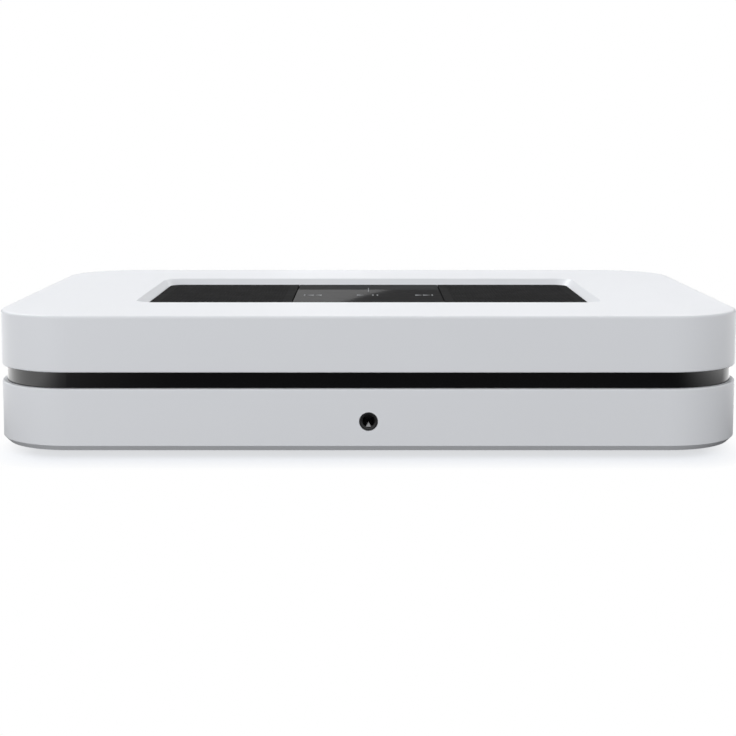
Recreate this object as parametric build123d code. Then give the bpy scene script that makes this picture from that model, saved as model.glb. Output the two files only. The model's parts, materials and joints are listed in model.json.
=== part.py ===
from build123d import *
import math
import os

# A compact network music streamer: two white shells with a black band between them, a touch
# panel sunk into the top, a headphone jack in front and a row of sockets behind.
# Millimetres. The front faces -Y, +Z is up, and the feet stand on the plane Z = 0.

# Case
width = 220.0
depth = 146.0
corner_radius = 23.0
lower_height = 18.2
gap_height = 4.7
upper_height = 16.4
wall = 2.4
floor_thickness = 2.4
roof_thickness = 2.4
top_edge_radius = 0.8
rim_edge_radius = 0.4
base_chamfer = 1.6
overrun = 1.0
slip = 0.2
thread_slip = 0.05

# Feet
foot_radius = 9.0
foot_stand = 1.9
foot_recess = 1.2
foot_edge_radius = 0.8
foot_inset_x = 30.0
foot_inset_y = 29.0

# Black band between the shells
band_inset = 1.4
band_seat_depth = 4.6
band_lip_height = 3.0
band_lug_radius = 5.0
band_lug_thickness = 2.0

# Case screws and the bosses that they join
boss_inset = 16.0
boss_radius = 4.5
upper_boss_radius = 4.0
case_screw_radius = 1.5
case_screw_head_radius = 2.8
case_screw_head_height = 2.2
case_screw_bite = 8.0
screw_well_radius = 3.2
screw_well_depth = 6.5
screw_passage = 0.2
cross_arm_share = 1.1
cross_slot_share = 0.28
cross_depth_share = 0.3

# Cooling slots in the base
vent_length = 26.0
vent_width = 2.0
vent_pitch = 5.0
vent_rows = 9
vent_spread = 62.0

# Steel chassis plate, held on moulded stakes
plate_thickness = 1.2
plate_inset = 5.6
plate_window_margin = 1.5
stake_radius = 1.5
stake_head_radius = 2.8
stake_head_height = 0.8
stake_shares = [(-0.36, -0.34), (0.36, -0.34), (-0.36, 0.32), (0.36, 0.32)]

# Circuit boards
standoff_height = 2.3
standoff_radius = 3.0
board_thickness = 1.6
board_side_inset = 21.6
board_front_inset = 6.0
board_rear_inset = 7.0
power_board_width = 28.9
board_split = 1.5
board_screw_radius = 1.3
board_screw_head_radius = 2.5
board_screw_head_height = 1.6
main_screw_shares = [(0.04, 0.06), (0.95, 0.06), (0.5, 0.16), (0.04, 0.8), (0.95, 0.74)]
power_screw_shares = [(0.14, 0.06), (0.86, 0.06), (0.14, 0.8), (0.86, 0.8)]

# Recess in the top and the black insert in it
recess_width = 145.2
recess_depth = 76.0
recess_corner = 6.5
recess_drop = 2.0
recess_slope = 2.0
recess_rim_width = 6.0
recess_rim_height = 1.8
carrier_thickness = 1.8
carrier_margin = 5.0
carrier_step = 0.8
carrier_window_margin = 5.0
carrier_rib = 4.0
carrier_screw_radius = 0.9
carrier_screw_bite = 2.6
carrier_screw_head_radius = 1.8
carrier_screw_head_height = 1.2
carrier_screw_inset = 2.1
glass_width = 49.0
glass_groove = 0.3
glass_edge_radius = 0.15
grille_margin = 1.6
grille_hole_radius = 0.5
grille_pitch = 2.0
touch_board_width = 42.0
touch_board_depth = 62.0
touch_board_thickness = 1.2

# Ribbon cable from the touch board to the main board
ribbon_width = 12.0
ribbon_thickness = 0.4
ribbon_bend = 3.0
ribbon_run = 16.0
ribbon_socket_depth = 4.0
ribbon_socket_height = 2.0
ribbon_socket_margin = 1.5

# Headphone jack in the front wall
jack_rise = 8.7
jack_hole_radius = 2.73
jack_nose_radius = 2.65
jack_bore_radius = 1.8
jack_bore_depth = 14.0
jack_mouth_chamfer = 0.45
jack_nose_recess = 0.35
jack_body_width = 6.4
jack_body_height = 5.6
jack_body_depth = 14.5
jack_ear_width = 1.6
jack_ear_depth = 4.0
jack_ear_thickness = 0.8

# Rear panel
panel_margin = 25.0
panel_sill = 4.5
panel_flange = 1.8
panel_lip = 1.1
panel_end = 1.8
socket_slip = 0.2
row_margin = 4.0

# Mains inlet with a figure-eight recess
inlet_width = 20.0
inlet_height = 13.2
inlet_depth = 18.0
inlet_lobe_radius = 4.3
inlet_lobe_spread = 3.2
inlet_recess_depth = 12.0
inlet_pin_radius = 1.2
inlet_pin_spacing = 8.6
inlet_pin_length = 9.5

# Ethernet socket
ethernet_width = 16.0
ethernet_height = 13.3
ethernet_depth = 16.0
ethernet_mouth_width = 11.8
ethernet_mouth_height = 7.0
ethernet_mouth_rise = 4.2
ethernet_mouth_depth = 12.0
ethernet_notch_widths = (6.4, 3.4)
ethernet_notch_step = 1.5
ethernet_contact_pitch = 1.02
ethernet_contact_width = 0.45
ethernet_contact_thickness = 0.35
ethernet_contact_length = 8.0
ethernet_contact_drop = 1.6
ethernet_contacts_count = 8

# USB and HDMI style sockets
usb_width = 13.1
usb_height = 5.7
usb_tongue_width = 11.1
usb_tongue_height = 1.9
usb_tongue_lift = 0.7
video_width = 15.2
video_height = 5.9
video_corner = 2.2
video_tongue_width = 10.6
video_tongue_height = 1.2
sheet_wall = 0.4
sheet_proud = 0.5
sheet_depth = 14.0
sheet_mouth_depth = 9.5
tongue_length = 8.0

# Mini jacks behind
mini_width = 7.6
mini_height = 7.0
mini_depth = 15.0
mini_nose_radius = 3.3

# Optical output with its sprung shutter
optical_width = 10.0
optical_height = 11.0
optical_depth = 14.0
optical_mouth = 8.2
optical_mouth_rise = 1.4
optical_mouth_depth = 10.0
optical_lens_radius = 1.6
optical_lens_depth = 2.5
shutter_thickness = 0.8
shutter_side_gap = 0.2
shutter_tip_gap = 0.2
shutter_barrel_radius = 0.55
shutter_pin_radius = 0.35
shutter_pin_bore = 0.42
shutter_pin_bite = 0.6
shutter_setback = 1.4
shutter_drop = 0.75
shutter_stop_height = 0.7
shutter_stop_gap = 0.1

# Phono sockets
phono_width = 10.0
phono_rise = 7.0
phono_barrel_radius = 4.15
phono_barrel_length = 7.7
phono_barrel_wall = 0.6
phono_end_chamfer = 0.25
phono_flange_radius = 4.9
phono_flange_proud = 0.3
phono_insulator_recess = 0.6
phono_contact_radius = 1.95
phono_bore_radius = 1.6
phono_bore_floor = 1.4
phono_housing_height = 13.8
phono_housing_depth = 10.0
panel_screw_radius = 1.1
panel_screw_head_radius = 2.0
panel_screw_head_height = 1.0
panel_screw_rise = 4.6
panel_screw_bite = 5.0

# Parts on the boards
shield_size = 40.0
shield_height = 3.2
shield_shares = (0.37, 0.42)
sink_size = 38.0
sink_base = 2.0
sink_fin = 1.2
sink_fin_height = 7.0
sink_fins = 9
radio_width = 16.0
radio_depth = 22.0
radio_height = 2.6
radio_shares = (0.13, 0.42)
chip_size = 7.0
chip_height = 1.2
chip_shares = [(0.16, 0.64), (0.32, 0.64), (0.48, 0.64), (0.82, 0.42), (0.82, 0.28)]
audio_cap_radius = 3.15
audio_cap_height = 7.0
audio_cap_row_share = 0.74
audio_cap_shares = [0.12, 0.18, 0.24, 0.3, 0.36, 0.42]
transformer_width = 20.0
transformer_depth = 22.0
transformer_height = 16.0
transformer_winding_radius = 8.6
transformer_winding_length = 12.0
transformer_shares = (0.5, 0.5)
bulk_cap_radius = 6.0
bulk_cap_length = 22.0
bulk_cap_edge_radius = 0.8
bulk_cap_shares = (0.5, 0.27)
choke_width = 14.0
choke_depth = 16.0
choke_height = 13.0
choke_shares = (0.5, 0.69)
small_cap_radius = 4.0
small_cap_height = 11.0
small_cap_shares = (0.5, 0.14)
small_cap_pitch = 9.0

# Infrared receiver behind the band
eye_width = 6.0
eye_depth = 3.6
eye_height = 6.6
eye_lens_radius = 1.9
eye_lens_depth = 0.6
eye_leg_width = 0.6
eye_leg_pitch = 2.2
eye_offset = 30.0
eye_gap = 0.3

# Aerials and their leads
aerial_length = 42.0
aerial_height = 8.5
aerial_thickness = 0.8
aerial_rise = 0.8
lead_radius = 0.55
lead_run = 9.0
bend_share = 0.45

# Leads between the boards
harness_radius = 0.65
harness_pitch = 2.2
harness_wires = 4
harness_height = 8.0
harness_reach = 6.0
harness_shares = (0, 0.62)

# Levels and places that follow
base_z = foot_stand
floor_z = base_z + floor_thickness
rim_z = base_z + lower_height
upper_z = rim_z + gap_height
top_z = upper_z + upper_height
roof_z = top_z - roof_thickness
recess_z = top_z - recess_drop
carrier_z = roof_z - recess_rim_height
platform_z = carrier_z + carrier_step
insert_thickness = recess_z - platform_z
plate_z = floor_z + plate_thickness
board_z = plate_z + standoff_height
board_top = board_z + board_thickness
front_y = -depth / 2
back_y = depth / 2
panel_y = back_y - band_inset
flange_y = panel_y - panel_lip
socket_y = flange_y - panel_flange
barrel_y = panel_y + phono_flange_proud
barrel_end = barrel_y + phono_barrel_length
mid_z = (rim_z + upper_z) / 2
opening_width = recess_width - 2 * recess_slope
opening_depth = recess_depth - 2 * recess_slope
opening_corner = recess_corner - recess_slope
insert_width = opening_width - 2 * slip
insert_depth = opening_depth - 2 * slip
insert_corner = opening_corner - slip
cutout_half = width / 2 - panel_margin
cutout_z = base_z + panel_sill
panel_top = upper_z - slip
band_cut_half = cutout_half + panel_end + slip
jack_z = base_z + jack_rise
phono_z = board_top + phono_rise
optical_low = board_top + optical_mouth_rise
optical_high = optical_low + optical_mouth
ribbon_y = -ribbon_run / 2
main_left = -width / 2 + board_side_inset
power_right = width / 2 - board_side_inset
power_left = power_right - power_board_width
main_right = power_left - board_split
board_front = front_y + board_front_inset
board_rear = back_y - board_rear_inset
rear_overhang = barrel_end - back_y

BOTTOM = (Align.CENTER, Align.CENTER, Align.MIN)


def block(x_low, x_high, y_low, y_high, z_low, z_high):
    middle = Pos((x_low + x_high) / 2, (y_low + y_high) / 2, z_low)
    return middle * Box(x_high - x_low, y_high - y_low, z_high - z_low, align=BOTTOM)


def post(x, y, radius, z_low, z_high):
    return Pos(x, y, z_low) * Cylinder(radius, z_high - z_low, align=BOTTOM)


def rod(x, z, radius, y_low, y_high):
    return Pos(x, (y_low + y_high) / 2, z) * Rot(90, 0, 0) * Cylinder(radius, y_high - y_low)


def slab(size_x, size_y, radius, z_low, z_high):
    outline = Pos(0, 0, z_low) * RectangleRounded(size_x, size_y, radius)
    return extrude(outline, amount=z_high - z_low)


def case_slab(inset, z_low, z_high):
    return slab(width - 2 * inset, depth - 2 * inset, corner_radius - inset, z_low, z_high)


def prism_y(face_points, y_low, y_high):
    """A closed outline of (x, z) points, carried from y_low to y_high."""
    outline = Polyline(*[(x, y_low, z) for x, z in face_points], close=True)
    return extrude(make_face(outline), amount=y_high - y_low, dir=(0, 1, 0))


def corners(inset_x, inset_y):
    x, y = width / 2 - inset_x, depth / 2 - inset_y
    return [(-x, -y), (x, -y), (-x, y), (x, y)]


def rear_row():
    """The middle of each rear socket, from +X to -X, with equal gaps between their widths."""
    row = [
        ("inlet", inlet_width),
        ("ethernet", ethernet_width),
        ("usb", usb_width),
        ("video", video_width),
        ("optical_in", mini_width),
        ("optical_out", optical_width),
        ("coax", phono_width),
        ("sub", phono_width),
        ("right", phono_width),
        ("left", phono_width),
        ("trigger", mini_width),
        ("remote", mini_width),
    ]
    room = 2 * (cutout_half - row_margin) - sum(size for name, size in row)
    gap = room / (len(row) - 1)
    places, x = {}, cutout_half - row_margin
    for name, size in row:
        places[name] = x - size / 2
        x -= size + gap
    return places


row = rear_row()
phono_names = ["coax", "sub", "right", "left"]
mini_names = ["optical_in", "trigger", "remote"]


def on_main(shares):
    across, along = shares
    return (
        main_left + across * (main_right - main_left),
        board_front + along * (board_rear - board_front),
    )


def on_power(shares):
    across, along = shares
    return (
        power_left + across * (power_right - power_left),
        board_front + along * (board_rear - board_front),
    )


def board_screw_spots():
    return [on_main(s) for s in main_screw_shares] + [on_power(s) for s in power_screw_shares]


# Case shells


def vent_slots(z_low, z_high, grow):
    """Two fields of slots side by side, the same in the base and in the plate above it."""
    slots = []
    for side in (-1, 1):
        for place in GridLocations(0, vent_pitch, 1, vent_rows):
            outline = SlotOverall(vent_length + 2 * grow, vent_width + 2 * grow)
            spot = Pos(side * vent_spread / 2, 0, z_low) * place * outline
            slots.append(extrude(spot, amount=z_high - z_low))
    return slots


def stake_spots():
    return [(x * width, y * depth) for x, y in stake_shares]


def lower_shell():
    shell = case_slab(0, base_z, rim_z)
    shell = chamfer(shell.edges().group_by(Axis.Z)[0], base_chamfer)
    shell = fillet(shell.edges().group_by(Axis.Z)[-1], rim_edge_radius)
    shell -= case_slab(wall, floor_z, rim_z + overrun)
    bosses = [
        post(x, y, boss_radius, floor_z, mid_z - band_lug_thickness / 2)
        for x, y in corners(boss_inset, boss_inset)
    ]
    stakes = [post(x, y, stake_radius, floor_z, plate_z) for x, y in stake_spots()]
    heads = [
        post(x, y, stake_head_radius, plate_z, plate_z + stake_head_height)
        for x, y in stake_spots()
    ]
    shell += bosses + stakes + heads
    cuts = [
        block(
            -cutout_half, cutout_half,
            back_y - wall - overrun, back_y + overrun,
            cutout_z, rim_z + overrun,
        ),
        rod(0, jack_z, jack_hole_radius, front_y - overrun, front_y + wall + overrun),
    ]
    for x, y in corners(boss_inset, boss_inset):
        well_top = base_z + screw_well_depth
        cuts.append(post(x, y, screw_well_radius, base_z - overrun, well_top))
        cuts.append(post(x, y, case_screw_radius + screw_passage, base_z, mid_z))
    for x, y in corners(foot_inset_x, foot_inset_y):
        cuts.append(post(x, y, foot_radius + slip, base_z - overrun, base_z + foot_recess))
    return shell - cuts - vent_slots(base_z - overrun, floor_z + overrun, 0)


def band_frame():
    """A T-shaped ring: the stem shows in the gap and the two lips stand inside the shells."""
    hollow = case_slab(band_seat_depth, rim_z - band_lip_height - overrun,
                       upper_z + band_lip_height + overrun)
    stem = case_slab(band_inset, rim_z, upper_z)
    lips = case_slab(wall + slip, rim_z - band_lip_height, upper_z + band_lip_height)
    ring = stem + lips - hollow
    ring -= block(
        -band_cut_half, band_cut_half,
        back_y - band_seat_depth - overrun, back_y + overrun,
        rim_z - band_lip_height - overrun, upper_z,
    )
    lug_low, lug_high = mid_z - band_lug_thickness / 2, mid_z + band_lug_thickness / 2
    for x, y in corners(boss_inset, boss_inset):
        ring += post(x, y, band_lug_radius, lug_low, lug_high)
        x_low, x_high = sorted((x, math.copysign(width / 2, x)))
        arm_half = band_lug_radius / 2
        arm = block(x_low, x_high, y - arm_half, y + arm_half, lug_low, lug_high)
        ring += arm & case_slab((band_inset + band_seat_depth) / 2, lug_low, lug_high)
        ring -= post(x, y, case_screw_radius + screw_passage, lug_low - overrun, lug_high + overrun)
    return ring


def recess_cut():
    """The sloping side of the top recess and the straight opening under it."""
    mouth = Pos(0, 0, top_z) * RectangleRounded(recess_width, recess_depth, recess_corner)
    seat = Pos(0, 0, recess_z) * RectangleRounded(opening_width, opening_depth, opening_corner)
    slope = loft([seat, mouth])
    above = slab(recess_width, recess_depth, recess_corner, top_z, top_z + overrun)
    below = slab(opening_width, opening_depth, opening_corner, carrier_z - overrun, recess_z)
    return [slope, above, below]


def carrier_spots():
    x = opening_width / 2 + carrier_margin - carrier_screw_inset
    y = opening_depth / 2 + carrier_margin - carrier_screw_inset
    return [(-x, -y), (x, -y), (-x, y), (x, y)]


def upper_shell():
    shell = case_slab(0, upper_z, top_z)
    shell = fillet(shell.edges().group_by(Axis.Z)[-1], top_edge_radius)
    shell = fillet(shell.edges().group_by(Axis.Z)[0], rim_edge_radius)
    shell -= case_slab(wall, upper_z - overrun, roof_z)
    rim = slab(
        opening_width + 2 * recess_rim_width, opening_depth + 2 * recess_rim_width,
        opening_corner + recess_rim_width, carrier_z, roof_z,
    )
    bosses = [
        post(x, y, upper_boss_radius, mid_z + band_lug_thickness / 2, roof_z)
        for x, y in corners(boss_inset, boss_inset)
    ]
    shell += [rim] + bosses
    cuts = recess_cut()
    for x, y in corners(boss_inset, boss_inset):
        bite_top = mid_z + band_lug_thickness / 2 + case_screw_bite + slip
        cuts.append(post(x, y, case_screw_radius + thread_slip, mid_z, bite_top))
    for x, y in carrier_spots():
        bite_top = carrier_z + carrier_screw_bite + slip
        cuts.append(post(x, y, carrier_screw_radius + thread_slip, carrier_z - overrun, bite_top))
    return shell - cuts


def case_screws():
    screws = []
    for x, y in corners(boss_inset, boss_inset):
        head_top = base_z + screw_well_depth
        tip = mid_z + band_lug_thickness / 2 + case_screw_bite
        head = post(x, y, case_screw_head_radius, head_top - case_screw_head_height, head_top)
        shank = post(x, y, case_screw_radius, head_top, tip)
        screws.append(cross_driven(head + shank, x, y, head_top - case_screw_head_height,
                                   case_screw_head_radius))
    return Compound(screws)


def cross_driven(screw, x, y, face_z, head_radius):
    """Cuts a cross recess into a head whose outer face is at face_z."""
    sunk = head_radius * cross_depth_share
    for half_x, half_y in cross_halves(head_radius):
        screw -= block(x - half_x, x + half_x, y - half_y, y + half_y, face_z - sunk, face_z + sunk)
    return screw.solid()


def cross_halves(head_radius):
    arm, slot = head_radius * cross_arm_share / 2, head_radius * cross_slot_share / 2
    return [(arm, slot), (slot, arm)]


def foot(x, y):
    pad = post(x, y, foot_radius, 0, base_z + foot_recess)
    return fillet(pad.edges().group_by(Axis.Z)[0], foot_edge_radius)


# Plate and boards


def chassis_plate():
    plate = case_slab(plate_inset, floor_z, plate_z)
    cuts = [
        post(x, y, boss_radius + socket_slip, floor_z - overrun, plate_z + overrun)
        for x, y in corners(boss_inset, boss_inset)
    ]
    cuts += [
        post(x, y, stake_radius + thread_slip, floor_z - overrun, plate_z + overrun)
        for x, y in stake_spots()
    ]
    half_x = vent_length / 2 + plate_window_margin
    half_y = vent_pitch * (vent_rows - 1) / 2 + vent_width / 2 + plate_window_margin
    for side in (-1, 1):
        x = side * vent_spread / 2
        cuts.append(block(x - half_x, x + half_x, -half_y, half_y,
                          floor_z - overrun, plate_z + overrun))
    return plate - cuts


def board_standoffs():
    studs = []
    for x, y in board_screw_spots():
        stud = post(x, y, standoff_radius, plate_z, board_z)
        bore = post(x, y, board_screw_radius + thread_slip, plate_z - overrun, board_z + overrun)
        studs.append((stud - bore).solid())
    return Compound(studs)


def board_screws():
    screws = []
    for x, y in board_screw_spots():
        head_top = board_top + board_screw_head_height
        head = post(x, y, board_screw_head_radius, board_top, head_top)
        shank = post(x, y, board_screw_radius, plate_z + slip, board_top)
        screws.append(cross_driven(head + shank, x, y, head_top, board_screw_head_radius))
    return Compound(screws)


def board(x_low, x_high, shares, spot):
    sheet = block(x_low, x_high, board_front, board_rear, board_z, board_top)
    holes = [
        post(*spot(s), board_screw_radius + screw_passage, board_z - overrun, board_top + overrun)
        for s in shares
    ]
    return sheet - holes


def main_board():
    notch_half = jack_body_width / 2 + slip
    notch = block(
        -notch_half, notch_half,
        board_front - overrun, jack_back() + slip,
        board_z - overrun, board_top + overrun,
    )
    return board(main_left, main_right, main_screw_shares, on_main) - notch


def power_board():
    return board(power_left, power_right, power_screw_shares, on_power)


# Insert in the top recess


def insert_zone(x_low, x_high, z_low, z_high):
    """The part of the insert's outline between two lines across it."""
    whole = slab(insert_width, insert_depth, insert_corner, z_low, z_high)
    return whole & block(x_low, x_high, -insert_depth, insert_depth, z_low, z_high)


def insert_carrier():
    flange = slab(
        opening_width + 2 * carrier_margin, opening_depth + 2 * carrier_margin,
        opening_corner + carrier_margin, carrier_z - carrier_thickness, carrier_z,
    )
    step = slab(insert_width, insert_depth, insert_corner, carrier_z, platform_z)
    low, high = carrier_z - carrier_thickness - overrun, platform_z + overrun
    cuts = [
        post(x, y, carrier_screw_radius + thread_slip, low, high) for x, y in carrier_spots()
    ]
    half_x, half_y = touch_board_width / 2 + slip, touch_board_depth / 2 + slip
    cuts.append(block(-half_x, half_x, -half_y, half_y, low, high))
    inner = glass_width / 2 + carrier_window_margin
    outer = insert_width / 2 - carrier_window_margin
    reach = insert_depth / 2 - carrier_window_margin
    for side in (-1, 1):
        for y_low, y_high in ((-reach, -carrier_rib / 2), (carrier_rib / 2, reach)):
            x_low, x_high = sorted((side * inner, side * outer))
            cuts.append(block(x_low, x_high, y_low, y_high, low, high))
    return flange + step - cuts


def carrier_screws():
    screws = []
    for x, y in carrier_spots():
        under = carrier_z - carrier_thickness
        head = post(x, y, carrier_screw_head_radius, under - carrier_screw_head_height, under)
        shank = post(x, y, carrier_screw_radius, under, carrier_z + carrier_screw_bite)
        screws.append(cross_driven(head + shank, x, y, under - carrier_screw_head_height,
                                   carrier_screw_head_radius))
    return Compound(screws)


def grille_hole_spots(x_low, x_high):
    """Staggered rows of hole centres that keep a plain margin round the plate."""
    row_step = grille_pitch * math.sqrt(3) / 2
    first_x, last_x = x_low + grille_margin, x_high - grille_margin
    first_y = -insert_depth / 2 + grille_margin
    last_y = -first_y
    rows = int((last_y - first_y - 2 * grille_hole_radius) / row_step)
    columns = int((last_x - first_x - 2 * grille_hole_radius) / grille_pitch)
    centre_x = (first_x + last_x) / 2
    spots = []
    for j in range(rows + 1):
        y = (j - rows / 2) * row_step
        shift = grille_pitch / 4 * (1 if j % 2 else -1)
        for i in range(columns):
            spots.append((centre_x + (i - (columns - 1) / 2) * grille_pitch + shift, y))
    return spots


def grille(side):
    """A perforated plate whose outer corners follow the recess."""
    inner = glass_width / 2 + glass_groove
    x_low, x_high = sorted((side * inner, side * insert_width / 2))
    plate = insert_zone(x_low, x_high, platform_z, recess_z)
    base = plate.faces().sort_by(Axis.Z)[0]
    corner = insert_corner * (2 - math.sqrt(2))
    holes = []
    for x, y in grille_hole_spots(x_low, x_high):
        if abs(x) + abs(y) > insert_width / 2 + insert_depth / 2 - corner - 2 * grille_margin:
            continue
        ring = Pos(x, y, platform_z) * Edge.make_circle(grille_hole_radius)
        holes.append(Wire([ring]))
    pierced = Face(base.outer_wire(), holes)
    return extrude(pierced, amount=insert_thickness, dir=(0, 0, 1))


def touch_glass():
    half = glass_width / 2
    glass = insert_zone(-half, half, platform_z, recess_z)
    return chamfer(glass.edges().group_by(Axis.Z)[-1], glass_edge_radius)


def touch_board():
    half_x, half_y = touch_board_width / 2, touch_board_depth / 2
    return block(-half_x, half_x, -half_y, half_y, platform_z - touch_board_thickness, platform_z)


def ribbon_levels():
    """The heights that the ribbon joins: under the touch board and on the main board."""
    high = platform_z - touch_board_thickness - ribbon_socket_height / 2
    low = board_top + ribbon_socket_height / 2
    return high, low


def ribbon_cable():
    """A flat strip that leaves both sockets forwards and turns down in two bends."""
    z_high, z_low = ribbon_levels()
    start_y = ribbon_y - ribbon_socket_depth / 2
    fold_y = start_y - ribbon_run
    half = ribbon_thickness / 2
    outer = ribbon_plate(fold_y - half, start_y, z_low - half, z_high + half, ribbon_bend + half)
    inner = ribbon_plate(fold_y + half, start_y + overrun, z_low + half, z_high - half,
                         ribbon_bend - half)
    return outer - inner


def ribbon_plate(y_low, y_high, z_low, z_high, bend):
    plate = block(-ribbon_width / 2, ribbon_width / 2, y_low, y_high, z_low, z_high)
    return fillet(plate.edges().filter_by(Axis.X).group_by(Axis.Y)[0], bend)


def ribbon_sockets():
    half = ribbon_width / 2 + ribbon_socket_margin
    sockets = []
    y_low = ribbon_y - ribbon_socket_depth / 2
    for z in ribbon_levels():
        z_low = z - ribbon_socket_height / 2
        sockets.append(block(-half, half, y_low, y_low + ribbon_socket_depth,
                             z_low, z_low + ribbon_socket_height).solid())
    return Compound(sockets)


# Headphone jack


def jack_back():
    return front_y + wall + slip + jack_body_depth


def headphone_jack():
    nose_y = front_y + jack_nose_recess
    body_y = front_y + wall + slip
    jack = rod(0, jack_z, jack_nose_radius, nose_y, body_y + overrun)
    jack += block(
        -jack_body_width / 2, jack_body_width / 2, body_y, jack_back(),
        jack_z - jack_body_height / 2, jack_z + jack_body_height / 2,
    )
    ear_half = jack_body_width / 2 + jack_ear_width
    ear_back = jack_back() - slip
    jack += block(-ear_half, ear_half, ear_back - jack_ear_depth, ear_back,
                  board_top, board_top + jack_ear_thickness)
    jack -= rod(0, jack_z, jack_bore_radius, nose_y - overrun, nose_y + jack_bore_depth)
    mouth = jack.faces().sort_by(Axis.Y)[0].inner_wires()[0].edges()
    return chamfer(mouth, jack_mouth_chamfer)


# Rear panel and sockets


def rear_panel():
    half = cutout_half - slip
    wide = cutout_half + panel_end
    panel = block(-wide, wide, socket_y, flange_y, floor_z + slip / 2, panel_top)
    panel += block(-half, half, flange_y, panel_y, cutout_z + slip, panel_top)
    panel += block(-wide, wide, flange_y, panel_y, rim_z + slip / 2, panel_top)
    low, high = socket_y - overrun, panel_y + overrun
    grow = socket_slip
    cuts = [
        socket_hole("inlet", inlet_width + 2 * grow, board_top - grow, inlet_height + 2 * grow),
        socket_hole("ethernet", ethernet_width + 2 * grow, board_top - grow,
                    ethernet_height + 2 * grow),
        socket_hole("usb", usb_width + 2 * grow, board_top - grow,
                    usb_height + 2 * grow),
        socket_hole("optical_out", optical_width + 2 * grow, board_top - grow,
                    optical_height + 2 * grow),
        prism_y(video_outline(-grow), low, high),
    ]
    for name in mini_names:
        cuts.append(rod(row[name], mini_z(), mini_nose_radius + grow, low, high))
    for name in phono_names:
        cuts.append(rod(row[name], phono_z, phono_flange_radius + grow, low, high))
    for x in phono_screw_places():
        cuts.append(rod(x, phono_z + panel_screw_rise, panel_screw_radius + thread_slip,
                        low, high))
    return panel - cuts


def socket_hole(name, size_x, z_low, size_z):
    x = row[name]
    return block(x - size_x / 2, x + size_x / 2, socket_y - overrun, panel_y + overrun,
                 z_low, z_low + size_z)


def mains_inlet():
    x = row["inlet"]
    body = block(x - inlet_width / 2, x + inlet_width / 2, panel_y - inlet_depth, panel_y,
                 board_top, board_top + inlet_height)
    floor_y = panel_y - inlet_recess_depth
    for side in (-1, 1):
        body -= rod(x + side * inlet_lobe_spread, inlet_z(), inlet_lobe_radius,
                    floor_y, panel_y + overrun)
    return body


def inlet_z():
    return board_top + inlet_height / 2


def inlet_pins():
    floor_y = panel_y - inlet_recess_depth
    pins = []
    for side in (-1, 1):
        pin = rod(row["inlet"] + side * inlet_pin_spacing / 2, inlet_z(), inlet_pin_radius,
                  floor_y, floor_y + inlet_pin_length)
        tip = pin.edges().group_by(Axis.Y)[-1]
        pins.append(chamfer(tip, inlet_pin_radius / 2).solid())
    return Compound(pins)


def ethernet_jack():
    x = row["ethernet"]
    body = block(x - ethernet_width / 2, x + ethernet_width / 2, panel_y - ethernet_depth,
                 panel_y, board_top, board_top + ethernet_height)
    mouth_z = board_top + ethernet_mouth_rise
    back = panel_y - ethernet_mouth_depth
    half = ethernet_mouth_width / 2
    body -= block(x - half, x + half, back, panel_y + overrun, mouth_z,
                  mouth_z + ethernet_mouth_height)
    for step, notch in enumerate(ethernet_notch_widths):
        body -= block(x - notch / 2, x + notch / 2, back, panel_y + overrun,
                      mouth_z - (step + 1) * ethernet_notch_step, mouth_z)
    return body


def ethernet_contacts():
    """Eight sprung wires that slope down from the mouth's inner end."""
    x = row["ethernet"]
    back = panel_y - ethernet_mouth_depth
    top = board_top + ethernet_mouth_rise + ethernet_mouth_height - ethernet_contact_thickness
    tip_y = back + ethernet_contact_length
    tip_top = top - ethernet_contact_drop
    wires = []
    for i in range(ethernet_contacts_count):
        middle = x + (i - (ethernet_contacts_count - 1) / 2) * ethernet_contact_pitch
        left = middle - ethernet_contact_width / 2
        side = Polyline(
            (left, back, top), (left, tip_y, tip_top),
            (left, tip_y, tip_top - ethernet_contact_thickness),
            (left, back, top - ethernet_contact_thickness), close=True,
        )
        wires.append(extrude(make_face(side), amount=ethernet_contact_width, dir=(1, 0, 0)).solid())
    return Compound(wires)


def sheet_ends():
    return panel_y + sheet_proud - sheet_depth, panel_y + sheet_proud


def usb_port():
    x, z = row["usb"], board_top
    back, front = sheet_ends()
    shell = block(x - usb_width / 2, x + usb_width / 2, back, front, z, z + usb_height)
    inner = sheet_wall
    return shell - block(x - usb_width / 2 + inner, x + usb_width / 2 - inner, back - overrun,
                         front + overrun, z + inner, z + usb_height - inner)


def usb_tongue():
    """The moulded back of the port, with its tongue."""
    x, z = row["usb"], board_top
    back, front = sheet_ends()
    inner = sheet_wall + thread_slip
    mouth = front - sheet_mouth_depth
    core = block(x - usb_width / 2 + inner, x + usb_width / 2 - inner, back, mouth,
                 z + inner, z + usb_height - inner)
    tongue_top = z + usb_height - sheet_wall - usb_tongue_lift
    core += block(x - usb_tongue_width / 2, x + usb_tongue_width / 2, mouth - overrun,
                  mouth + tongue_length, tongue_top - usb_tongue_height, tongue_top)
    return core


def video_outline(inset):
    """The socket's flat-topped outline with two cut lower corners, drawn in by inset."""
    x, z = row["video"], board_top
    half = video_width / 2 - inset
    low, high = z + inset, z + video_height - inset
    cut = video_corner
    return [
        (x - half, high), (x + half, high), (x + half, low + cut),
        (x + half - cut, low), (x - half + cut, low), (x - half, low + cut),
    ]


def video_port():
    back, front = sheet_ends()
    shell = prism_y(video_outline(0), back, front)
    return shell - prism_y(video_outline(sheet_wall), back - overrun, front + overrun)


def video_tongue():
    x, z = row["video"], board_top
    back, front = sheet_ends()
    mouth = front - sheet_mouth_depth
    core = prism_y(video_outline(sheet_wall + thread_slip), back, mouth)
    middle = z + video_height / 2
    core += block(x - video_tongue_width / 2, x + video_tongue_width / 2, mouth - overrun,
                  mouth + tongue_length, middle - video_tongue_height / 2,
                  middle + video_tongue_height / 2)
    return core


def mini_z():
    return board_top + mini_height / 2


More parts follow.
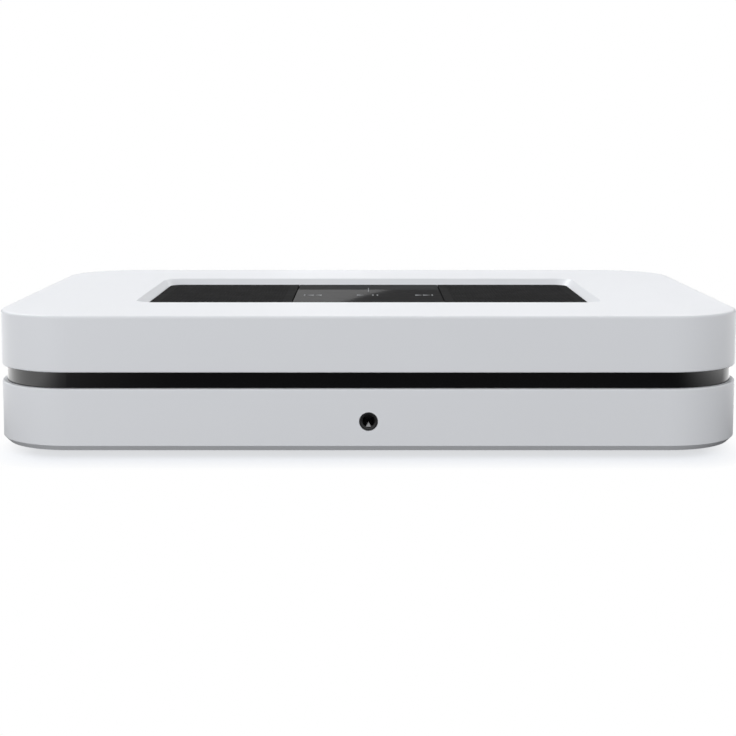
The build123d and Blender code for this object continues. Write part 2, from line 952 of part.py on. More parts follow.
def mini_jack(name):
    x = row[name]
    body_front = socket_y
    body = block(x - mini_width / 2, x + mini_width / 2, panel_y - mini_depth, body_front,
                 board_top, board_top + mini_height)
    body += rod(x, mini_z(), mini_nose_radius, body_front - overrun, panel_y)
    body -= rod(x, mini_z(), jack_bore_radius, panel_y - jack_bore_depth, panel_y + overrun)
    mouth = body.faces().sort_by(Axis.Y)[-1].inner_wires()[0].edges()
    return chamfer(mouth, jack_mouth_chamfer)


def shutter_axis():
    return row["optical_out"], panel_y - shutter_setback, optical_high - shutter_drop


def optical_out():
    x = row["optical_out"]
    low, high = optical_low, optical_high
    back = panel_y - optical_mouth_depth
    body = block(x - optical_width / 2, x + optical_width / 2, panel_y - optical_depth,
                 panel_y, board_top, board_top + optical_height)
    half = optical_mouth / 2
    body -= block(x - half, x + half, back, panel_y + overrun, low, high)
    body -= rod(x, (low + high) / 2, optical_lens_radius, back - optical_lens_depth, back + overrun)
    x, y, z = shutter_axis()
    body += block(x - half, x + half, y + shutter_thickness / 2 + shutter_stop_gap, panel_y,
                  low, low + shutter_stop_height)
    bite = half + shutter_pin_bite + thread_slip
    body -= Pos(x, y, z) * Rot(0, 90, 0) * Cylinder(shutter_pin_bore, 2 * bite)
    return body


def optical_shutter():
    """A flap that hangs from two moulded pins and swings into the socket."""
    x, y, z = shutter_axis()
    half = optical_mouth / 2 - shutter_side_gap
    flap = block(x - half, x + half, y - shutter_thickness / 2, y + shutter_thickness / 2,
                 optical_low + shutter_tip_gap, z)
    flap += Pos(x, y, z) * Rot(0, 90, 0) * Cylinder(shutter_barrel_radius, 2 * half)
    reach = optical_mouth / 2 + shutter_pin_bite
    flap += Pos(x, y, z) * Rot(0, 90, 0) * Cylinder(shutter_pin_radius, 2 * reach)
    return flap


def phono_pairs():
    return [phono_names[i:i + 2] for i in range(0, len(phono_names), 2)]


def phono_screw_places():
    return [(row[a] + row[b]) / 2 for a, b in phono_pairs()]


def phono_housings():
    housings = []
    for a, b in phono_pairs():
        x_low, x_high = row[b] - phono_width / 2, row[a] + phono_width / 2
        housing = block(x_low, x_high, socket_y - phono_housing_depth, socket_y,
                        board_top, board_top + phono_housing_height)
        housing -= rod((row[a] + row[b]) / 2, phono_z + panel_screw_rise,
                       panel_screw_radius + thread_slip, socket_y - panel_screw_bite,
                       socket_y + overrun)
        housings.append(housing.solid())
    return Compound(housings)


def phono_jack(name):
    """The metal barrel of a phono socket, with the flange that fills its panel hole."""
    x = row[name]
    flange = rod(x, phono_z, phono_flange_radius, socket_y, barrel_y)
    barrel = rod(x, phono_z, phono_barrel_radius, barrel_y, barrel_end)
    barrel = chamfer(barrel.edges().group_by(Axis.Y)[-1], phono_end_chamfer)
    bore = rod(x, phono_z, phono_barrel_radius - phono_barrel_wall, socket_y - overrun,
               barrel_end + overrun)
    return flange + barrel - bore


def phono_insulator(name):
    x = row[name]
    radius = phono_barrel_radius - phono_barrel_wall - thread_slip
    ring = rod(x, phono_z, radius, socket_y, barrel_end - phono_insulator_recess)
    return ring - rod(x, phono_z, phono_contact_radius + thread_slip, socket_y - overrun,
                      barrel_end)


def phono_contacts():
    contacts = []
    for name in phono_names:
        x = row[name]
        end = barrel_end - phono_insulator_recess - thread_slip
        tube = rod(x, phono_z, phono_contact_radius, socket_y, end)
        tube -= rod(x, phono_z, phono_bore_radius, socket_y + phono_bore_floor, end + overrun)
        contacts.append(tube.solid())
    return Compound(contacts)


def panel_screws():
    screws = []
    for x in phono_screw_places():
        z = phono_z + panel_screw_rise
        head_end = panel_y + panel_screw_head_height
        screw = rod(x, z, panel_screw_head_radius, panel_y, head_end)
        screw += rod(x, z, panel_screw_radius, socket_y - panel_screw_bite + slip, panel_y)
        sunk = panel_screw_head_radius * cross_depth_share
        for half_x, half_z in cross_halves(panel_screw_head_radius):
            screw -= block(x - half_x, x + half_x, head_end - sunk, head_end + overrun,
                           z - half_z, z + half_z)
        screws.append(screw.solid())
    return Compound(screws)


# Parts on the boards


def standing_block(spot, size_x, size_y, z_low, z_high):
    x, y = spot
    return block(x - size_x / 2, x + size_x / 2, y - size_y / 2, y + size_y / 2, z_low, z_high)


def processor_shield():
    return standing_block(on_main(shield_shares), shield_size, shield_size, board_top,
                          board_top + shield_height)


def processor_heatsink():
    x, y = on_main(shield_shares)
    base_low = board_top + shield_height
    base_high = base_low + sink_base
    sink = standing_block((x, y), sink_size, sink_size, base_low, base_high)
    step = (sink_size - sink_fin) / (sink_fins - 1)
    for i in range(sink_fins):
        fin_x = x - sink_size / 2 + sink_fin / 2 + i * step
        sink += standing_block((fin_x, y), sink_fin, sink_size, base_high,
                               base_high + sink_fin_height)
    return sink


def radio_module():
    return standing_block(on_main(radio_shares), radio_width, radio_depth, board_top,
                          board_top + radio_height)


def audio_chips():
    return Compound([
        standing_block(on_main(s), chip_size, chip_size, board_top,
                       board_top + chip_height).solid()
        for s in chip_shares
    ])


def audio_capacitors():
    return Compound([
        post(*on_main((s, audio_cap_row_share)), audio_cap_radius, board_top,
             board_top + audio_cap_height).solid()
        for s in audio_cap_shares
    ])


def power_transformer():
    """A ferrite core with its round winding lying through it."""
    x, y = on_power(transformer_shares)
    core = standing_block((x, y), transformer_width, transformer_depth, board_top,
                          board_top + transformer_height)
    middle = board_top + transformer_height / 2
    window = transformer_winding_length
    for side in (-1, 1):
        edge = x + side * transformer_width / 2
        inner = x + side * transformer_width / 4
        low, high = sorted((edge + side * overrun, inner))
        core -= block(low, high, y - window / 2, y + window / 2, board_top - overrun,
                      board_top + transformer_height + overrun)
    winding_radius = min(transformer_winding_radius, transformer_height / 2)
    return core + rod(x, middle, winding_radius, y - window / 2, y + window / 2)


def bulk_capacitor():
    x, y = on_power(bulk_cap_shares)
    can = rod(x, board_top + bulk_cap_radius, bulk_cap_radius, y - bulk_cap_length / 2,
              y + bulk_cap_length / 2)
    return fillet(can.edges().filter_by(GeomType.CIRCLE), bulk_cap_edge_radius)


def line_filter():
    return standing_block(on_power(choke_shares), choke_width, choke_depth, board_top,
                          board_top + choke_height)


def output_capacitors():
    x, y = on_power(small_cap_shares)
    return Compound([
        post(x + side * small_cap_pitch / 2, y, small_cap_radius, board_top,
             board_top + small_cap_height).solid()
        for side in (-1, 1)
    ])


def ir_receiver():
    """The remote-control eye on its three legs, close behind the band."""
    front = front_y + band_seat_depth + eye_gap
    back = front + eye_lens_depth + eye_depth
    z_low, z_high = mid_z - eye_height / 2, mid_z + eye_height / 2
    x = -eye_offset
    eye = block(x - eye_width / 2, x + eye_width / 2, front + eye_lens_depth, back, z_low, z_high)
    eye += rod(x, mid_z, eye_lens_radius, front, back)
    middle = (front + eye_lens_depth + back) / 2
    for i in (-1, 0, 1):
        leg = x + i * eye_leg_pitch
        half = eye_leg_width / 2
        eye += block(leg - half, leg + half, middle - half, middle + half, board_top, z_low)
    return eye


# Aerials, leads and their routes


def aerials():
    z_low = upper_z + band_lip_height + aerial_rise
    strips = []
    for side in (-1, 1):
        outer = side * (width / 2 - wall)
        x_low, x_high = sorted((outer, outer - side * aerial_thickness))
        strips.append(block(x_low, x_high, -aerial_length / 2, aerial_length / 2, z_low,
                            z_low + aerial_height).solid())
    return Compound(strips)


def lead_tube(points, radius, bend):
    path = FilletPolyline(*points, radius=bend)
    section = Plane(origin=path @ 0, z_dir=path % 0) * Circle(radius)
    return sweep(section, path=path).solid()


def aerial_leads():
    """Each lead stands up off the radio module, crosses the case and lands on its aerial."""
    x, y = on_main(radio_shares)
    start_z = board_top + radio_height
    end_z = upper_z + band_lip_height + aerial_rise + aerial_height / 2
    leads = []
    for side in (-1, 1):
        begin = (x + side * radio_width / 4, y + side * radio_depth / 4)
        end_x = side * (width / 2 - wall - aerial_thickness)
        points = [
            (begin[0], begin[1], start_z),
            (begin[0], begin[1], end_z - aerial_height / 4),
            (end_x - side * lead_run, side * aerial_height, end_z),
            (end_x, side * aerial_height, end_z),
        ]
        leads.append(lead_tube(points, lead_radius, lead_bend(points)))
    return Compound(leads)


def lead_bend(points):
    """The largest radius at each corner that leaves both of its runs room for the next bend."""
    radii = []
    for before, here, after in zip(points, points[1:], points[2:]):
        run_in = Vector(*here) - Vector(*before)
        run_out = Vector(*after) - Vector(*here)
        half_turn = math.radians(run_in.get_angle(run_out)) / 2
        radii.append(bend_share * min(run_in.length, run_out.length) / math.tan(half_turn))
    return radii


def power_harness():
    """Four short wires that arch from the power board to the main board."""
    y = on_power(harness_shares)[1]
    wires = []
    for i in range(harness_wires):
        wire_y = y + (i - (harness_wires - 1) / 2) * harness_pitch
        start = power_left + harness_reach / 2
        end = main_right - harness_reach / 2
        high = board_top + harness_height
        points = [(start, wire_y, board_top), (start, wire_y, high), (end, wire_y, high),
                  (end, wire_y, board_top)]
        wires.append(lead_tube(points, harness_radius, lead_bend(points)))
    return Compound(wires)


def parts():
    made = {
        "lower_shell": lower_shell(),
        "upper_shell": upper_shell(),
        "band_frame": band_frame(),
        "case_screws": case_screws(),
        "chassis_plate": chassis_plate(),
        "board_standoffs": board_standoffs(),
        "board_screws": board_screws(),
        "main_board": main_board(),
        "power_board": power_board(),
        "insert_carrier": insert_carrier(),
        "carrier_screws": carrier_screws(),
        "grille_left": grille(-1),
        "grille_right": grille(1),
        "touch_glass": touch_glass(),
        "touch_board": touch_board(),
        "ribbon_cable": ribbon_cable(),
        "ribbon_sockets": ribbon_sockets(),
        "headphone_jack": headphone_jack(),
        "rear_panel": rear_panel(),
        "panel_screws": panel_screws(),
        "mains_inlet": mains_inlet(),
        "inlet_pins": inlet_pins(),
        "ethernet_jack": ethernet_jack(),
        "ethernet_contacts": ethernet_contacts(),
        "usb_port": usb_port(),
        "usb_tongue": usb_tongue(),
        "video_port": video_port(),
        "video_tongue": video_tongue(),
        "optical_out": optical_out(),
        "optical_shutter": optical_shutter(),
        "phono_housings": phono_housings(),
        "phono_contacts": phono_contacts(),
        "processor_shield": processor_shield(),
        "processor_heatsink": processor_heatsink(),
        "radio_module": radio_module(),
        "audio_chips": audio_chips(),
        "audio_capacitors": audio_capacitors(),
        "power_transformer": power_transformer(),
        "bulk_capacitor": bulk_capacitor(),
        "line_filter": line_filter(),
        "output_capacitors": output_capacitors(),
        "ir_receiver": ir_receiver(),
        "aerials": aerials(),
        "aerial_leads": aerial_leads(),
        "power_harness": power_harness(),
    }
    for name in mini_names:
        made[name + "_jack"] = mini_jack(name)
    for name in phono_names:
        made["phono_" + name] = phono_jack(name)
        made["insulator_" + name] = phono_insulator(name)
    foot_names = ["front_left", "front_right", "rear_left", "rear_right"]
    for name, spot in zip(foot_names, corners(foot_inset_x, foot_inset_y)):
        made["foot_" + name] = foot(*spot)
    return made


def write():
    """Writes each piece, moved so that the origin is under the middle of the whole object."""
    os.makedirs("parts", exist_ok=True)
    centring = Pos(0, -rear_overhang / 2, 0)
    for name, shape in parts().items():
        export_step(centring * shape, "parts/" + name + ".step")


write()
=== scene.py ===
import json
import math

import bmesh
import bpy
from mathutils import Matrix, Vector


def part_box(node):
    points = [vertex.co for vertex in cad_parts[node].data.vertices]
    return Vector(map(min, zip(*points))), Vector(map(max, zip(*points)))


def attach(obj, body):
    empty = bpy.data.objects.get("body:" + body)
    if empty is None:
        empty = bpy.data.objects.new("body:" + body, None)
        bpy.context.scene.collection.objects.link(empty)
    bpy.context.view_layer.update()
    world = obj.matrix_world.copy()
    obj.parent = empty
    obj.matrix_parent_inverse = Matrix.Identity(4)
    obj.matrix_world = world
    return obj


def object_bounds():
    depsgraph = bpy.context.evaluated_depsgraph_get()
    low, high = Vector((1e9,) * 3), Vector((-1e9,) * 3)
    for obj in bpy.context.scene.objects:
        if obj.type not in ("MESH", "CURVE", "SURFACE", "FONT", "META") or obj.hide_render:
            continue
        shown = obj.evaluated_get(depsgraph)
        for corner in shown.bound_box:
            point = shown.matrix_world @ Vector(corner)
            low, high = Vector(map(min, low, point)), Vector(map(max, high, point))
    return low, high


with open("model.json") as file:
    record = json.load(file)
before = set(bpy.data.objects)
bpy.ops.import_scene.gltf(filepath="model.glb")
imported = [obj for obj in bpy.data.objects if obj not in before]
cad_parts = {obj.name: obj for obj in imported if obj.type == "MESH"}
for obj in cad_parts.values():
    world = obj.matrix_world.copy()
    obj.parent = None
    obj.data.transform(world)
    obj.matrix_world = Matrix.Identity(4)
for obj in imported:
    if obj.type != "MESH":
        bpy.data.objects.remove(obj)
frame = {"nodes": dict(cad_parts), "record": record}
cad_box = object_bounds()
nodes = frame["nodes"]

MM = 0.001
WHITE = (1, 1, 1)
BLACK = (0, 0, 0)

# Camera: ahead of the front face and above the standing plane, pitched down a little from level.
# Angles in degrees, lens and sensor in millimetres
camera_ahead = 419.5 * MM
camera_height = 92.6 * MM
camera_aside = -0.15 * MM
camera_level = 90
camera_pitch = 6.146
camera_lens = 72.379
camera_sensor = 36
camera_shift = -0.1

# World: white where it is seen, a softer sky where it lights
seen_level = 1.0
sky_level = 0.35

# Lamps, all aimed at the object: middle, width and height in metres, power in watts
lamp_target = (0, 0, 0.02)
key_place = (-0.24, 0.95, 0.92)
key_size = (1.8, 0.8)
key_power = 15.6
fill_place = (-0.30, -1.45, 0.32)
fill_size = (1.8, 0.5)
fill_power = 14.5
left_place = (-1.2, 0.5, 0.3)
right_place = (1.2, 0.4, 0.3)
side_size = (0.6, 0.4)
left_power = 2.1
right_power = 2.9

# Floor: paper that takes the real shadow beside the object, plus a painted shadow there (its glow
# dimmed and tinted blue), and turns plain white further off
floor_half = 4.0
floor_drop = 0.05 * MM
shade_inset = (12 * MM, 0)
shade_reach = 15 * MM
shade_corner = 8 * MM
# Painted shadow: the floor's glow level and blue tint close beside the object
shade_glow = 0.675
shade_glow_tint = (0.965, 0.98, 1.0)
shade_tint = (0.34, 0.355, 0.39)
floor_bounce = (0.052, 0.052, 0.054)

# What gloss sees of the floor: dark ahead of the object, bright off its corners and behind it
mirror_middle = 30 * MM
mirror_dark_half = 95 * MM
mirror_bright_half = 240 * MM
mirror_dark = 0.05
mirror_bright = 2.1
mirror_curve = 2.2
mirror_behind_start = -50 * MM
mirror_behind_end = 20 * MM
mirror_behind_share = 0.8

# Cards that only gloss sees, standing behind the object; the bright one's slanting edge as x and
# z in millimetres
card_back = 600 * MM
card_gap = 10 * MM
dark_card_half = 600 * MM
dark_card_low = 30 * MM
dark_card_top = 300 * MM
dark_card_level = 0.05
glint_left = -62 * MM
glint_low = 95 * MM
glint_top = 119 * MM
glint_points = [(23, 98.5), (12, 101.1), (-2, 104.4), (-15, 108.5), (-45, 116)]
glint_edge = [(x * MM, z * MM) for x, z in glint_points]
glint_level = 3.9

# Headphone socket: its axis above the standing plane, and the contact leaf seen in its bore, whose
# light grey is partly a painted glint
jack_axis = 10.6 * MM
leaf_setback = 0.3 * MM
leaf_depth = 1.6 * MM
leaf_half = 0.75 * MM
leaf_foot = 1.62 * MM
leaf_tip = 0.3 * MM

# Touch panel symbols
symbol_lift = 0.02 * MM
symbol_thickness = 0.03 * MM
symbol_width = 2.6 * MM
symbol_height = 3.6 * MM
symbol_stroke = 0.5 * MM
symbol_back = 0.9 * MM
skip_reach = 18.3 * MM
pause_step = 1.5 * MM
tick_back = 16.5 * MM
tick_width = 0.3 * MM
tick_length = 13 * MM

# Textures: the spacing of the fine bumps, their depth, and the width of the faint blotches
moulded = {"grain": 0.4 * MM, "depth": 0.01 * MM, "blotch": 18 * MM}
shell_skin = {"grain": 0.35 * MM, "depth": 0.004 * MM, "blotch": 30 * MM}
polished = {"grain": 2 * MM, "depth": 0.001 * MM, "blotch": 18 * MM}
perforated_skin = {"grain": 0.3 * MM, "depth": 0.01 * MM, "blotch": 18 * MM}
glass_skin = {"grain": 4 * MM, "depth": 0.0004 * MM, "blotch": 18 * MM}
panel_skin = {"grain": 0.45 * MM, "depth": 0.02 * MM, "blotch": 18 * MM}
socket_skin = {"grain": 0.3 * MM, "depth": 0.006 * MM, "blotch": 18 * MM}
small_moulded = {"grain": 0.4 * MM, "depth": 0.01 * MM, "blotch": 4 * MM}
rubber_skin = {"grain": 0.5 * MM, "depth": 0.03 * MM, "blotch": 18 * MM}
screw_skin = {"grain": 0.2 * MM, "depth": 0.01 * MM, "blotch": 3 * MM}
pin_skin = {"grain": 0.5 * MM, "depth": 0.001 * MM, "blotch": 3 * MM}
plated_skin = {"grain": 0.5 * MM, "depth": 0.001 * MM, "blotch": 4 * MM}
mark_skin = {"grain": 0.4 * MM, "depth": 0.01 * MM, "blotch": 2 * MM}
blotch_detail = 3
gloss_detail = 5
grain_detail = 2
gloss_blotch_share = 1 / 3
noise_low = 0.3
noise_high = 0.7
coat_roughness = 0.03

# Tracks of a circuit board: square cells whose borders, from start to end, turn to copper
track_pitch = 3 * MM
track_depth = 0.02 * MM
track_fold_share = 0.12
track_start_share = 0.07
track_end_share = 0.09
board_roughness = 0.35

# Colours that more than one finish has
black_plastic = (0.018, 0.018, 0.019)
steel = (0.62, 0.63, 0.64)
nickel = (0.74, 0.73, 0.70)
insulator_colours = {
    "insulator_orange": (0.80, 0.22, 0.02),
    "insulator_black": black_plastic,
    "insulator_red": (0.62, 0.02, 0.018),
    "insulator_white": (0.78, 0.78, 0.76),
}


# Nodes


def feed(tree, value, socket):
    """Sets the socket to a number, or links it to another node's output."""
    if isinstance(value, (int, float)):
        socket.default_value = value
    else:
        tree.links.new(value, socket)


def maths(tree, operation, *values):
    """Each value is a number or another node's output."""
    made = tree.nodes.new("ShaderNodeMath")
    made.operation = operation
    for socket, value in zip(made.inputs, values):
        feed(tree, value, socket)
    return made.outputs["Value"]


def coordinates(tree, stretch):
    """Object coordinates, squeezed by stretch along each axis."""
    place = tree.nodes.new("ShaderNodeTexCoord")
    mapping = tree.nodes.new("ShaderNodeMapping")
    mapping.inputs["Scale"].default_value = stretch
    tree.links.new(place.outputs["Object"], mapping.inputs["Vector"])
    return mapping.outputs["Vector"]


def noise(tree, place, size, detail):
    """Noise whose blotches are about size metres across."""
    made = tree.nodes.new("ShaderNodeTexNoise")
    made.inputs["Scale"].default_value = 1 / size
    made.inputs["Detail"].default_value = detail
    tree.links.new(place, made.inputs["Vector"])
    return made.outputs["Fac"]


def spread(tree, value, low, high, start=noise_low, end=noise_high):
    """Goes from low to high as value goes from start to end."""
    made = tree.nodes.new("ShaderNodeMapRange")
    made.inputs["From Min"].default_value = start
    made.inputs["From Max"].default_value = end
    made.inputs["To Min"].default_value = low
    made.inputs["To Max"].default_value = high
    tree.links.new(value, made.inputs["Value"])
    return made.outputs["Result"]


def tinted(tree, value, first, second):
    """A colour between the first and the second, by value."""
    made = tree.nodes.new("ShaderNodeMix")
    made.data_type = "RGBA"
    made.inputs["A"].default_value = (*first, 1)
    made.inputs["B"].default_value = (*second, 1)
    tree.links.new(value, made.inputs["Factor"])
    return made.outputs["Result"]


def bumped(tree, surface_node, value, depth):
    """Raises the surface by depth metres where value is 1."""
    made = tree.nodes.new("ShaderNodeBump")
    made.inputs["Distance"].default_value = depth
    tree.links.new(value, made.inputs["Height"])
    tree.links.new(made.outputs["Normal"], surface_node.inputs["Normal"])


def shader(tree, kind, colour=None, **values):
    """A shader node; each further value is a number or another node's output."""
    made = tree.nodes.new(kind)
    if colour:
        made.inputs["Color"].default_value = (*colour, 1)
    for name, value in values.items():
        feed(tree, value, made.inputs[name])
    return made.outputs[0]


def mixed(tree, value, first, second):
    """The first shader where value is 0, the second where it is 1."""
    made = tree.nodes.new("ShaderNodeMixShader")
    for socket, source in zip(made.inputs, (value, first, second)):
        tree.links.new(source, socket)
    return made.outputs["Shader"]


# Kinds of material


def new_material(name):
    """A material, its node tree and its Principled shader."""
    made = bpy.data.materials.new(name)
    made.use_nodes = True
    tree = made.node_tree
    return made, tree, tree.nodes["Principled BSDF"]


def empty_material(name):
    """A material, its node tree and the socket that its shader goes to."""
    made = bpy.data.materials.new(name)
    made.use_nodes = True
    tree = made.node_tree
    tree.nodes.clear()
    out = tree.nodes.new("ShaderNodeOutputMaterial")
    return made, tree, out.inputs["Surface"]


def shaded(colour, share):
    """The colour, darker or lighter by share."""
    return tuple(channel * share for channel in colour)


def surface(name, colour, roughness, texture=moulded, variation=0.03, unevenness=0.12,
            metallic=0.0, ior=1.5, stretch=(1, 1, 1), coat=0.0):
    """A moulded, painted or metal surface: fine grain, faint blotches and uneven gloss."""
    made, tree, principled = new_material(name)
    place = coordinates(tree, stretch)
    blotch = texture["blotch"]
    cloud = spread(tree, noise(tree, place, blotch, blotch_detail), 0, 1)
    shade = tinted(tree, cloud, shaded(colour, 1 - variation), shaded(colour, 1 + variation))
    patches = noise(tree, place, blotch * gloss_blotch_share, gloss_detail)
    gloss = spread(tree, patches, roughness * (1 - unevenness), roughness * (1 + unevenness))
    tree.links.new(shade, principled.inputs["Base Color"])
    tree.links.new(gloss, principled.inputs["Roughness"])
    bumped(tree, principled, noise(tree, place, texture["grain"], grain_detail), texture["depth"])
    principled.inputs["Metallic"].default_value = metallic
    principled.inputs["IOR"].default_value = ior
    principled.inputs["Coat Weight"].default_value = coat
    principled.inputs["Coat Roughness"].default_value = coat_roughness
    return made


def circuit_board(name, mask, copper):
    """Solder mask over tracks, which show as paler lines."""
    made, tree, principled = new_material(name)
    cells = tree.nodes.new("ShaderNodeTexVoronoi")
    cells.distance = "CHEBYCHEV"
    cells.inputs["Scale"].default_value = 1 / track_pitch
    tree.links.new(coordinates(tree, (1, 1, 1)), cells.inputs["Vector"])
    folded = maths(tree, "PINGPONG", cells.outputs["Distance"], track_fold_share)
    track = spread(tree, folded, 0, 1, track_start_share, track_end_share)
    tree.links.new(tinted(tree, track, mask, copper), principled.inputs["Base Color"])
    bumped(tree, principled, track, track_depth)
    principled.inputs["Roughness"].default_value = board_roughness
    return made


def glowing_card(name, level):
    made, tree, out = empty_material(name)
    tree.links.new(shader(tree, "ShaderNodeEmission", WHITE, Strength=level), out)
    return made


# Finishes of the case


def shell_white():
    return surface("shell_white", colour=(0.795, 0.813, 0.848), roughness=0.42, texture=shell_skin,
                   variation=0.004, unevenness=0.02)


def band_black():
    return surface("band_black", colour=(0.004, 0.004, 0.0045), roughness=0.08, texture=polished,
                   variation=0.1)


def grille_black():
    return surface("grille_black", colour=(0.024, 0.024, 0.0245), roughness=0.7,
                   texture=perforated_skin, variation=0.06, ior=1.03)


def panel_gloss():
    return surface("panel_gloss", colour=(0.028, 0.028, 0.0285), roughness=0.5, texture=glass_skin,
                   variation=0.05, ior=1.015, coat=0.042)


def carrier_black():
    return surface("carrier_black", colour=black_plastic, roughness=0.55)


def panel_black():
    return surface("panel_black", colour=(0.02, 0.02, 0.021), roughness=0.5, texture=panel_skin,
                   variation=0.08)


def foot_rubber():
    return surface("foot_rubber", colour=(0.028, 0.028, 0.029), roughness=0.75,
                   texture=rubber_skin, variation=0.12)


# Finishes of the sockets


def socket_black():
    return surface("socket_black", colour=black_plastic, roughness=0.38, texture=socket_skin,
                   variation=0.08)


def shutter_grey():
    return surface("shutter_grey", colour=(0.06, 0.06, 0.065), roughness=0.4, texture=socket_skin)


def ethernet_black():
    return surface("ethernet_black", colour=(0.022, 0.022, 0.023), roughness=0.42)


def contact_gold():
    return surface("contact_gold", colour=(0.83, 0.62, 0.27), roughness=0.2, texture=pin_skin,
                   metallic=1.0)


def pin_nickel():
    return surface("pin_nickel", colour=nickel, roughness=0.2, texture=pin_skin, metallic=1.0)


def port_steel():
    return surface("port_steel", colour=nickel, roughness=0.28, texture=plated_skin, metallic=1.0,
                   stretch=(1, 14, 1))


def phono_plated():
    return surface("phono_plated", colour=nickel, roughness=0.18, texture=plated_skin,
                   metallic=1.0, stretch=(1, 10, 1))


def insulator(name):
    return surface(name, colour=insulator_colours[name], roughness=0.3, texture=small_moulded)


# Finishes of what is inside


def plate_steel():
    return surface("plate_steel", colour=steel, roughness=0.38, metallic=1.0, stretch=(1, 12, 12))


def screw_steel():
    return surface("screw_steel", colour=steel, roughness=0.3, texture=screw_skin, metallic=1.0)


def screw_black():
    return surface("screw_black", colour=(0.03, 0.03, 0.03), roughness=0.35, texture=screw_skin,
                   metallic=0.6)


def standoff_brass():
    return surface("standoff_brass", colour=(0.72, 0.53, 0.25), roughness=0.28, metallic=1.0,
                   stretch=(1, 1, 20))


def board_green():
    return circuit_board("board_green", mask=(0.012, 0.09, 0.04), copper=(0.04, 0.19, 0.08))


def board_black():
    return circuit_board("board_black", mask=(0.012, 0.012, 0.013), copper=(0.03, 0.03, 0.03))


def ribbon_white():
    return surface("ribbon_white", colour=(0.78, 0.78, 0.76), roughness=0.4, stretch=(30, 1, 1))


def connector_cream():
    return surface("connector_cream", colour=(0.74, 0.70, 0.58), roughness=0.45)


def heatsink_aluminium():
    return surface("heatsink_aluminium", colour=(0.6, 0.61, 0.62), roughness=0.35, metallic=1.0,
                   stretch=(14, 1, 1))


def module_steel():
    return surface("module_steel", colour=(0.7, 0.7, 0.71), roughness=0.32, metallic=1.0)


def chip_black():
    return surface("chip_black", colour=black_plastic, roughness=0.5)


def capacitor_sleeve():
    return surface("capacitor_sleeve", colour=(0.012, 0.016, 0.035), roughness=0.3)


def winding_tape():
    return surface("winding_tape", colour=(0.68, 0.50, 0.07), roughness=0.4)


def aerial_copper():
    return surface("aerial_copper", colour=(0.5, 0.26, 0.08), roughness=0.35, metallic=0.8)


def lead_grey():
    return surface("lead_grey", colour=(0.2, 0.2, 0.21), roughness=0.45)


def wire_red():
    return surface("wire_red", colour=(0.45, 0.03, 0.025), roughness=0.4)


def make_finishes():
    """Every finish, by the name of its material slot."""
    return {
        "shell_white": shell_white(),
        "band_black": band_black(),
        "grille_black": grille_black(),
        "panel_gloss": panel_gloss(),
        "carrier_black": carrier_black(),
        "panel_black": panel_black(),
        "foot_rubber": foot_rubber(),
        "socket_black": socket_black(),
        "shutter_grey": shutter_grey(),
        "ethernet_black": ethernet_black(),
        "contact_gold": contact_gold(),
        "pin_nickel": pin_nickel(),
        "port_steel": port_steel(),
        "phono_plated": phono_plated(),
        **{name: insulator(name) for name in insulator_colours},
        "plate_steel": plate_steel(),
        "screw_steel": screw_steel(),
        "screw_black": screw_black(),
        "standoff_brass": standoff_brass(),
        "board_green": board_green(),
        "board_black": board_black(),
        "ribbon_white": ribbon_white(),
        "connector_cream": connector_cream(),
        "heatsink_aluminium": heatsink_aluminium(),
        "module_steel": module_steel(),
        "chip_black": chip_black(),
        "capacitor_sleeve": capacitor_sleeve(),
        "winding_tape": winding_tape(),
        "aerial_copper": aerial_copper(),
        "lead_grey": lead_grey(),
        "wire_red": wire_red(),
    }


def dress_nodes(finishes):
    """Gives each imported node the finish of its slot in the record."""
    for part in frame["record"]["subparts"]:
        mesh = nodes[part["node"]].data
        mesh.materials.clear()
        mesh.materials.append(finishes[part["material_slot"]])


# Pieces that the solids leave out


def add_prisms(name, outlines, shift, finish):
    """One piece on the case: each outline of (x, y, z) points, carried along shift."""
    made = bmesh.new()
    for outline in outlines:
        near = [made.verts.new(point) for point in outline]
        far = [made.verts.new(Vector(point) + Vector(shift)) for point in outline]
        made.faces.new(near)
        made.faces.new(far)
        for step in range(len(outline)):
            before = step - 1
            made.faces.new([near[before], near[step], far[step], far[before]])
    bmesh.ops.recalc_face_normals(made, faces=made.faces)
    mesh = bpy.data.meshes.new(name)
    made.to_mesh(mesh)
    made.free()
    mesh.materials.append(finish)
    piece = bpy.data.objects.new(name, mesh)
    bpy.context.scene.collection.objects.link(piece)
    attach(piece, "case")


def arrowhead(x, y, way):
    """It points to the right where way is 1, and to the left where way is -1."""
    tail, tip = x - way * symbol_width / 2, x + way * symbol_width / 2
    return [(tail, y - symbol_height / 2), (tip, y), (tail, y + symbol_height / 2)]


def bar(x, y, size_x, size_y):
    half_x, half_y = size_x / 2, size_y / 2
    return [(x - half_x, y - half_y), (x + half_x, y - half_y),
            (x + half_x, y + half_y), (x - half_x, y + half_y)]


def skip_symbol(x, y, way):
    """Two arrowheads and the bar that they run against."""
    return [arrowhead(x - symbol_width / 2, y, way), arrowhead(x + symbol_width / 2, y, way),
            bar(x + way * (symbol_width + symbol_stroke), y, symbol_stroke, symbol_height)]


def play_symbol(x, y):
    """An arrowhead with two bars beside it, for play and pause."""
    bars = [bar(x + step * pause_step, y, symbol_stroke, symbol_height) for step in (1, 2)]
    return [arrowhead(x - symbol_width, y, 1), *bars]


def touch_symbols():
    """Back, play and pause, and forward, with a short tick behind them."""
    low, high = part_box("touch_glass")
    x, y = (low.x + high.x) / 2, (low.y + high.y) / 2 + symbol_back
    flat = play_symbol(x, y) + [bar(x, y + tick_back, tick_width, tick_length)]
    for way in (-1, 1):
        flat += skip_symbol(x + way * skip_reach, y, way)
    level = high.z + symbol_lift
    outlines = [[(*point, level) for point in outline] for outline in flat]
    print_grey = surface("print_grey", colour=(0.21, 0.218, 0.228), roughness=0.4,
                         texture=mark_skin, ior=1.1)
    add_prisms("touch_symbols", outlines, (0, 0, symbol_thickness), print_grey)


